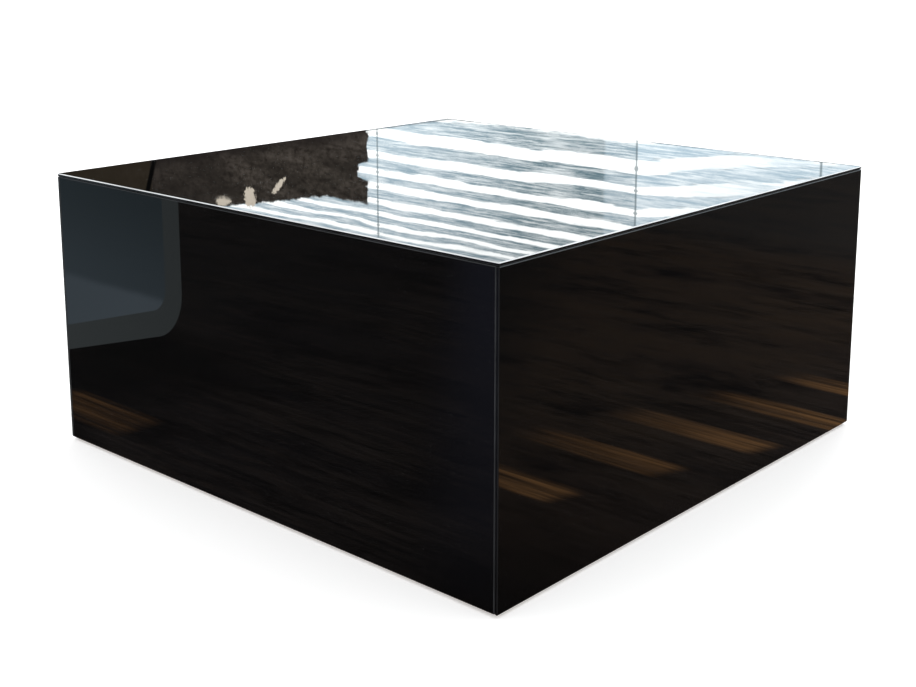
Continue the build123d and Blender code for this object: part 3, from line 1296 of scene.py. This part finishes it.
def glow(name, rgb_maker):
    """A light-giving card finish, whose colour is made by a function of the node tree."""
    material = bpy.data.materials.new(name)
    material.use_nodes = True
    tree = material.node_tree
    tree.nodes.clear()
    light = add_node(tree, "ShaderNodeEmission", {"Color": rgb_maker(tree)})
    add_node(tree, "ShaderNodeOutputMaterial", {"Surface": light.outputs[0]})
    return material


def stand_card(name, size, location, rotation, material):
    """A flat card that only glossy rays see."""
    drop_selection()
    bpy.ops.mesh.primitive_plane_add(size=1, location=location, rotation=rotation)
    card = bpy.context.object
    card.name = name
    card.scale = (*size, 1)
    settle(card)
    card.data.materials.append(material)
    card.visible_camera = False
    card.visible_diffuse = False
    card.visible_transmission = False
    card.visible_volume_scatter = False
    card.visible_shadow = False
    return card


def axis_parts(tree):
    """X, Y and Z of the position."""
    return add_node(tree, "ShaderNodeSeparateXYZ", {0: place_on_piece(tree)}).outputs


print("stage tools ready")

# %% [markdown]
# ## Pale floor and soft sky
#
# The floor gives off a little light of its own, so that it stays an even white and only a
# faint contact shadow is left under the table. The sky is white to the eye and to the
# table, but glossy rays see a dim room that gets paler overhead.

# %% Pale floor
drop_selection()
bpy.ops.mesh.primitive_plane_add(size=30, location=(0, 0, cad_low.z))
floor = bpy.context.object
floor.name = "floor"
settle(floor)
floor_paint, tree, shader = start_material("floor_paint", Roughness=0.9, Specular_IOR_Level=0.0)
floor_tone = noise(tree, place_on_piece(tree), 3.0, 3.0)
floor_white = blend_colours(tree, floor_tone, (0.93, 0.93, 0.93, 1), (0.96, 0.96, 0.96, 1))
feed(tree, shader, Base_Color=floor_white)
shader.inputs["Emission Color"].default_value = (1, 1, 1, 1)
shader.inputs["Emission Strength"].default_value = 0.32
floor.data.materials.append(floor_paint)
floor.visible_glossy = False
print("pale floor ready")

# %% Soft sky
world = bpy.data.worlds.new("soft_sky")
bpy.context.scene.world = world
world.use_nodes = True
sky = world.node_tree
sky.nodes.clear()
ray = add_node(sky, "ShaderNodeLightPath")
direction = add_node(sky, "ShaderNodeTexCoord").outputs["Generated"]
look = add_node(sky, "ShaderNodeSeparateXYZ", {0: direction})
overhead = ramp(sky, look.outputs["Z"], 0.05, 0.9, smooth=True)
gloss_sky = blend_colours(sky, overhead, (0.05, 0.048, 0.047, 1), (0.75, 0.78, 0.80, 1))
sky_colour = paint_over(
    sky,
    (1.12, 1.12, 1.12, 1),
    (ray.outputs["Is Camera Ray"], (1, 1, 1, 1)),
    (ray.outputs["Is Glossy Ray"], gloss_sky),
)
sky_light = add_node(sky, "ShaderNodeBackground", {"Color": sky_colour})
add_node(sky, "ShaderNodeOutputWorld", {"Surface": sky_light.outputs[0]})
bpy.context.scene.view_settings.view_transform = "Standard"
print("sky ready")

# %% [markdown]
# ## Boarded floor
#
# Dark oak boards run along X. Their grain is noise drawn out along the boards at several
# scales, one laid over another. The room's light and shade are then painted on them:
# browner on the right, greyer far behind and darker to the left, cooler in front, and
# painted shade under the chair and close to the table.

# %% Boards


def oak_boards(tree, at, streaks, flecks):
    """The boards' own colours."""
    planks = noise(tree, at, 3.0, 1.0, 0.5, stretch=(0.45, 5.0, 1.0))
    clouds = noise(tree, at, 5.0, 6.0, 0.75, stretch=(1.0, 2.2, 1.0))
    board = blend_colours(
        tree, ramp(tree, streaks, 0.36, 0.64), (0.018, 0.016, 0.016, 1), (0.128, 0.104, 0.094, 1)
    )
    board = paint_over(
        tree,
        board,
        (ramp(tree, planks, 0.40, 0.62, 0.0, 0.6), (0.052, 0.046, 0.050, 1)),
        (ramp(tree, flecks, 0.50, 0.70, 0.0, 0.55), (0.135, 0.10, 0.085, 1)),
        (ramp(tree, clouds, 0.52, 0.38, 0.0, 0.7), (0.016, 0.014, 0.014, 1)),
    )
    return board, clouds


def painted_room_light(tree, board, clouds, x, y):
    """The room's light and shade, painted over the boards' colour."""
    warm = times(tree, ramp(tree, x, 0.25, 0.50, 0.0, 0.6), ramp(tree, clouds, 0.36, 0.58))
    near = times(tree, ramp(tree, y, 0.10, -0.20, 0.0, 0.5), ramp(tree, x, 0.20, 0.30))
    sofa_shade = minus(tree, x, times(tree, y, 0.58))
    # Painted shade under the chair.
    shade_under_chair = times(tree, ramp(tree, x, -0.25, -0.42), ramp(tree, y, -0.66, -0.58), 0.7)
    cool = minus(tree, x, times(tree, plus(tree, y, 0.3), 0.87))
    cool = times(
        tree,
        ramp(tree, cool, 0.18, 0.30, smooth=True),
        ramp(tree, y, -0.31, -0.95, 0.25, 0.8),
        ramp(tree, y, -0.30, -0.32),
    )
    # Painted shade close to the table's front right corner.
    corner_x = maths(tree, "POWER", minus(tree, x, 0.3), 2.0)
    corner_y = maths(tree, "POWER", plus(tree, y, 0.3), 2.0)
    from_corner = maths(tree, "SQRT", plus(tree, corner_x, corner_y))
    return paint_over(
        tree,
        board,
        (warm, (0.160, 0.108, 0.070, 1)),
        (near, (0.050, 0.032, 0.022, 1)),
        (ramp(tree, y, 0.9, 1.15, 0.0, 0.6), (0.095, 0.097, 0.098, 1)),
        (ramp(tree, sofa_shade, 0.54, 0.68, 0.0, 0.75), (0.036, 0.036, 0.035, 1)),
        (ramp(tree, x, -0.75, -0.20, 0.45, 0.0), (0.046, 0.048, 0.049, 1)),
        (shade_under_chair, (0.012, 0.012, 0.012, 1)),
        (cool, (0.115, 0.122, 0.185, 1)),
        (ramp(tree, from_corner, 0.20, 0.04, 0.0, 0.7), (0.014, 0.013, 0.013, 1)),
    )


print("boards described")

# %% [markdown]
# ## Sun on the boards
#
# Light through the blind falls in slits along X on the right, and each lies a little
# further left than the one before it. Dividing Y by the slits' spacing and taking the
# fraction repeats one slit. A last streak of sun lies at the front left.

# %% Slits of sun
SLIT_START = -0.1325
SLIT_SPACING = 0.1208
SLIT_LEAN = 0.33


def sun_on_boards(tree, at, streaks, flecks, x, y):
    """Where the sun falls, 0 for nowhere."""
    lines = noise(tree, at, 12.0, 5.0, 0.75, stretch=(0.10, 8.0, 1.0))
    streaky = times(
        tree, ramp(tree, lines, 0.38, 0.62, 0.08, 1.0), ramp(tree, streaks, 0.32, 0.60, 0.40, 1.15)
    )
    number = maths(tree, "DIVIDE", minus(tree, y, SLIT_START), SLIT_SPACING)
    slit = apart(tree, maths(tree, "FRACT", number), 0.5)
    slit = plus(tree, slit, times(tree, flecks, 0.08))
    leaning = plus(tree, x, times(tree, y, SLIT_LEAN))
    sun = times(
        tree,
        ramp(tree, slit, 0.18, 0.26, 1.0, 0.0, smooth=True),
        ramp(tree, leaning, 0.375, 0.40, smooth=True),
        ramp(tree, leaning, 0.515, 0.585, 1.0, 0.0, smooth=True),
        ramp(tree, leaning, 0.43, 0.52, 1.0, 0.5),
        ramp(tree, y, -0.04, 0.02, 1.2, 0.82),
        ramp(tree, y, 0.20, 0.42, 1.0, 1.9),
        ramp(tree, y, -0.130, -0.120),
        ramp(tree, y, 0.46, 0.48, 1.0, 0.0),
        streaky,
    )
    front_streak = times(
        tree,
        ramp(tree, apart(tree, y, -0.367), 0.02, 0.034, 0.5, 0.0),
        ramp(tree, x, -0.45, -0.42),
        ramp(tree, x, -0.29, -0.262, 1.0, 0.0),
        streaky,
    )
    return maths(tree, "MAXIMUM", sun, front_streak)


def boarded_floor(tree):
    """Dark oak boards with sun on them."""
    at = place_on_piece(tree)
    x, y, _ = axis_parts(tree)
    streaks = noise(tree, at, 12.0, 6.0, 0.7, stretch=(0.5, 9.0, 1.0))
    flecks = noise(tree, at, 42.0, 4.0, 0.7, stretch=(0.35, 2.0, 1.0))
    board, clouds = oak_boards(tree, at, streaks, flecks)
    board = painted_room_light(tree, board, clouds, x, y)
    sun = sun_on_boards(tree, at, streaks, flecks, x, y)
    return blend_colours(tree, sun, board, (0.88, 0.45, 0.18, 1))


boards = glow("boards", boarded_floor)
stand_card("boarded_floor", (12, 12), (0, 0, cad_low.z + 0.2 * MM), (0, 0, 0), boards)
print("boarded floor ready")

# %% [markdown]
# ## Window wall: the blind
#
# The tall wall beyond the table carries a window with a slatted blind. Its slats are the
# fraction of a number that grows with height, frayed by noise, because thin slats against
# bright sky melt at their rims. Three thin tapes hang down over them.

# %% Blind
WALL_Y = 2.0
SILL_HEIGHT = 0.588
TAPES = (-2.156, -1.154, -0.609)


def slat_number(tree, at, x, z):
    """How many slats lie below a place on the blind: closer together higher up."""
    ripple = minus(tree, noise(tree, at, 3.0, 5.0, 0.6, stretch=(0.7, 1.0, 3.5)), 0.5)
    right_of_tape = maths(tree, "MAXIMUM", minus(tree, x, TAPES[1]), 0.0)
    bent_z = plus(tree, z, times(tree, right_of_tape, 0.15))
    bent_z = plus(tree, bent_z, times(tree, ripple, 0.045))
    low_z = maths(tree, "MINIMUM", bent_z, 1.0)
    growth = times(tree, minus(tree, low_z, 0.62), 2.83)
    number = times(tree, maths(tree, "EXPONENT", growth), 4.09)
    beyond = maths(tree, "DIVIDE", minus(tree, bent_z, low_z), 0.034)
    return plus(tree, minus(tree, number, 3.59), beyond)


def slatted_blind(tree, at, x, z):
    """White slats and pale blue gaps, with the tapes over them."""
    slat = apart(tree, maths(tree, "FRACT", slat_number(tree, at, x, z)), 0.5)
    fray = minus(tree, noise(tree, at, 9.0, 6.0, 0.7, stretch=(0.3, 1.0, 4.5)), 0.5)
    shreds = noise(tree, at, 30.0, 5.0, 0.75, stretch=(0.22, 1.0, 6.0))
    frayed = plus(tree, slat, times(tree, fray, 0.55))
    in_gap = ramp(tree, frayed, 0.24, 0.34, 1.0, 0.0, smooth=True)
    hazy = times(tree, ramp(tree, x, -1.10, -0.75, 0.0, 0.9), ramp(tree, fray, -0.18, 0.06))
    in_gap = maths(tree, "MAXIMUM", in_gap, hazy)
    torn = ramp(tree, shreds, 0.38, 0.60, 0.40, 1.10)
    in_gap = maths(tree, "MULTIPLY", in_gap, torn, clamp=True)
    deep = times(
        tree,
        ramp(tree, x, -2.05, -1.50, 0.30, 1.0),
        ramp(tree, x, -1.265, -1.255, 1.0, 0.5),
        ramp(tree, x, -1.160, -1.150, 1.0, 0.0),
    )
    rims = ramp(tree, apart(tree, frayed, 0.27), 0.015, 0.04, 0.55, 0.0)
    rims = times(tree, rims, ramp(tree, fray, -0.02, 0.08))
    gap = paint_over(
        tree, (1.05, 1.38, 1.60, 1), (deep, (0.30, 0.49, 0.58, 1)), (rims, (0.25, 0.36, 0.40, 1))
    )
    blind = blend_colours(tree, in_gap, (3.2, 3.3, 3.3, 1), gap)
    knot = ramp(tree, slat, 0.40, 0.47, 0.0, 0.004)
    for tape in TAPES:
        off = minus(tree, apart(tree, x, tape), knot)
        on_tape = ramp(tree, off, 0.001, 0.005, 0.75, 0.0)
        blind = blend_colours(tree, on_tape, blind, (0.30, 0.42, 0.46, 1))
    return blind


print("blind described,", len(TAPES), "tapes")

# %% [markdown]
# ## Window wall: the sofa
#
# Left of the window stands a dark sofa, whose brown pile has a soft sheen. Its top climbs
# towards the left, its side has one notch, and three cream cushions' tips show over it.

# %% Sofa and cushions
SOFA_SIDE = -2.200
SOFA_TOP = 0.897
SEAT_SEAM = -3.395


def sofa_cloth(tree, at, x, z, from_edge):
    """Brown cloth, dark at its foot, with a seam where the next seat starts."""
    pile = noise(tree, at, 30.0, 4.0, 0.75, stretch=(1.0, 1.0, 1.8))
    # Painted shade in the cloth's folds.
    folds = noise(tree, at, 3.5, 5.0, 0.6, stretch=(1.0, 1.0, 3.5))
    pile_shine = ramp(tree, pile, 0.36, 0.64)
    curved = plus(tree, x, times(tree, minus(tree, z, 0.95), 0.4))
    on_seam = ramp(tree, apart(tree, curved, SEAT_SEAM), 0.010, 0.018, 1.0, 0.0)
    cloth = blend_colours(tree, pile_shine, (0.040, 0.032, 0.027, 1), (0.170, 0.146, 0.124, 1))
    return paint_over(
        tree,
        cloth,
        (ramp(tree, folds, 0.56, 0.42, 0.0, 0.65), (0.036, 0.030, 0.026, 1)),
        (ramp(tree, x, -2.85, -3.12, 0.0, 0.55), (0.036, 0.030, 0.027, 1)),
        (ramp(tree, from_edge, 0.035, 0.005, 0.0, 0.6, smooth=True), (0.030, 0.025, 0.023, 1)),
        (ramp(tree, x, -3.38, -3.40, 0.0, 0.7), (0.052, 0.040, 0.024, 1)),
        (on_seam, (0.004, 0.004, 0.004, 1)),
    )


def past_the_sofa(tree, x, z, wobble):
    """1 beside or above the sofa, 0 on it."""
    notch = ramp(tree, apart(tree, z, 0.790), 0.020, 0.034, 0.045, 0.0, smooth=True)
    side = plus(tree, x, plus(tree, notch, times(tree, wobble, 0.07)))
    rise = maths(tree, "MAXIMUM", minus(tree, -2.40, x), 0.0)
    over = minus(tree, z, times(tree, rise, 0.19))
    over = plus(tree, over, times(tree, wobble, 0.030))
    beside = ramp(tree, side, SOFA_SIDE - 0.004, SOFA_SIDE + 0.004)
    above = ramp(tree, over, SOFA_TOP - 0.003, SOFA_TOP + 0.003)
    return maths(tree, "MAXIMUM", beside, above)


def cushion_tip(tree, x, z, wobble, centre, radii, lean):
    """A ragged leaning oval on the wall, 1 inside and 0 outside."""
    across = minus(tree, x, centre[0])
    up = plus(tree, minus(tree, z, centre[1]), times(tree, across, lean))
    across = maths(tree, "POWER", maths(tree, "DIVIDE", across, radii[0]), 2.0)
    up = maths(tree, "POWER", maths(tree, "DIVIDE", up, radii[1]), 2.0)
    reach = plus(tree, plus(tree, across, up), times(tree, wobble, 4.0))
    return ramp(tree, reach, 0.8, 1.2, 1.0, 0.0)


print("sofa described")

# %% [markdown]
# ## Window wall: put together
#
# The layers go on from the window outwards: the blind, its dark sill below, the sofa in
# front of both, and the cushions' tips last. A thin dark line follows the place where the
# far left edge of the table's top is mirrored.

# %% Window wall
CUSHION_TIPS = (
    ((-2.955, 0.984), (0.040, 0.016), 0.15),
    ((-2.802, 0.950), (0.031, 0.035), 0.0),
    ((-2.645, 0.890), (0.035, 0.015), 0.84),
)


def window_wall(tree):
    """A slatted window over its sill, right of and above a dark sofa with cream cushions."""
    at = place_on_piece(tree)
    x, _, z = axis_parts(tree)
    wobble = minus(tree, noise(tree, at, 24.0, 5.0, 0.7), 0.5)
    ragged = minus(tree, noise(tree, at, 70.0, 4.0, 0.7), 0.5)
    # Height over the line on this wall that the top's far left edge is mirrored along.
    from_edge = minus(tree, plus(tree, z, times(tree, plus(tree, x, 1.846), 0.192)), 0.585)
    over_sill = ramp(tree, z, SILL_HEIGHT - 0.001, SILL_HEIGHT)
    blind = slatted_blind(tree, at, x, z)
    window = blend_colours(tree, over_sill, (0.10, 0.12, 0.12, 1), blind)
    edge_line = ramp(tree, from_edge, 0.004, 0.006, 0.7, 0.0)
    window = blend_colours(tree, edge_line, window, (0.16, 0.20, 0.22, 1))
    cloth = sofa_cloth(tree, at, x, z, from_edge)
    wall = blend_colours(tree, past_the_sofa(tree, x, z, wobble), cloth, window)
    for centre, radii, lean in CUSHION_TIPS:
        here = cushion_tip(tree, x, z, ragged, centre, radii, lean)
        wall = blend_colours(tree, here, wall, (1.45, 1.30, 1.08, 1))
    return wall


window_light = glow("window_light", window_wall)
stand_card("window_wall", (9.0, 3.0), (-1.0, WALL_Y, 1.5), (UPRIGHT, 0, 0), window_light)
print("window wall ready")

# %% [markdown]
# ## Pale chair edge
#
# The shell of a pale chair stands close to the front of the table, on the left. It is one
# card with its lower right corner rounded by a bevel, and an inset marks off the rim from
# the hollow, so that each can take its own glow.

# %% Chair edge


def chair_shell(tree):
    """Cool pale plastic, with the lit seat below the back."""
    x, _, z = axis_parts(tree)
    mottle = noise(tree, place_on_piece(tree), 14.0, 4.0, 0.6)
    back = ramp(tree, z, 0.26, 0.12, smooth=True)
    shell = blend_colours(tree, back, (0.165, 0.225, 0.26, 1), (0.25, 0.33, 0.39, 1))
    seat = plus(tree, z, times(tree, mottle, 0.010))
    seat = ramp(tree, seat, 0.142, 0.130, smooth=True)
    seat = times(tree, seat, ramp(tree, x, -0.50, -0.34, 0.6, 1.0))
    return blend_colours(tree, seat, shell, (0.44, 0.55, 0.65, 1))


CHAIR_RIGHT = -0.258
CHAIR_Y = -0.42
CHAIR_FOOT = 0.10
CHAIR_SIZE = (0.75, 0.40)
chair = stand_card(
    "chair_edge",
    CHAIR_SIZE,
    (CHAIR_RIGHT - CHAIR_SIZE[0] / 2, CHAIR_Y, CHAIR_FOOT + CHAIR_SIZE[1] / 2),
    (UPRIGHT, 0, 0),
    glow("chair_rim", lambda tree: (0.27, 0.31, 0.32, 1)),
)
chair.data.materials.append(glow("chair_shell", chair_shell))
pick(chair, lambda corner: corner.z < 0.15 and corner.x < -0.5, "VERT")
bpy.ops.transform.translate(value=(0, 0, -0.212))
pick(chair, lambda corner: corner.z < 0.15 and corner.x > -0.5, "VERT")
bpy.ops.mesh.bevel(offset=0.045, segments=8, affect="VERTICES")
bpy.ops.mesh.select_mode(type="FACE")
bpy.ops.mesh.select_all(action="SELECT")
bpy.ops.mesh.inset(thickness=0.030)
bpy.ops.object.mode_set(mode="OBJECT")
for face in chair.data.polygons:
    face.material_index = 1 if face.select else 0
print("chair edge ready")

# %% [markdown]
# ## Soft boxes and the key light
#
# Seen from the other sides, the glass would mirror an empty room. Two soft boxes stand
# there, each a card that fades to clear towards its edges, because a hard edge would draw
# a line across the glass. The key light is a wide lamp in the window's direction, hidden
# from glossy rays because the window card already plays its part.

# %% Soft boxes
BOX_SIZE_Z = 1.9
BOX_MIDDLE_Z = 1.30


def soft_box(name, axis, middle, width, behind, turn_round):
    """A card that fades out towards the floor, the ceiling and its two ends."""
    material = glow(name, lambda tree: (1.5, 1.55, 1.6, 1))
    tree = material.node_tree
    parts = axis_parts(tree)
    off = apart(tree, parts[axis], middle)
    share = times(
        tree,
        ramp(tree, parts["Z"], 0.35, 1.5, smooth=True),
        ramp(tree, off, 0.15 * width, 0.5 * width, 1.0, 0.0, smooth=True),
        ramp(tree, parts["Z"], 1.5, 2.25, 1.0, 0.0, smooth=True),
    )
    end = tree.nodes["Material Output"].inputs["Surface"]
    light = end.links[0].from_socket
    clear = add_node(tree, "ShaderNodeBsdfTransparent")
    mixed = add_node(tree, "ShaderNodeMixShader", {0: share, 1: clear.outputs[0], 2: light})
    tree.links.new(mixed.outputs[0], end)
    place = (middle, behind) if axis == "X" else (behind, middle)
    stand_card(
        name.replace("light", "box"),
        (width, BOX_SIZE_Z),
        (*place, BOX_MIDDLE_Z),
        (UPRIGHT, 0, turn_round),
        material,
    )


soft_box("right_light", "Y", 0.3, 3.0, 3.2, UPRIGHT)
soft_box("front_light", "X", 0.9, 3.2, -3.4, 0)
print("soft boxes ready")

# %% Key light
bpy.ops.object.light_add(type="AREA", location=(-1.2, 2.2, 2.4))
key = bpy.context.object
key.name = "window_key"
key.data.shape = "RECTANGLE"
key.data.size = 2.4
key.data.size_y = 1.6
key.data.energy = 45
key.data.color = (0.95, 0.98, 1.0)
aim = Vector((0, 0, 0.2)) - key.location
key.rotation_euler = aim.to_track_quat("-Z", "Y").to_euler()
key.visible_glossy = False
print("key light ready")

# %% The end
drop_selection()
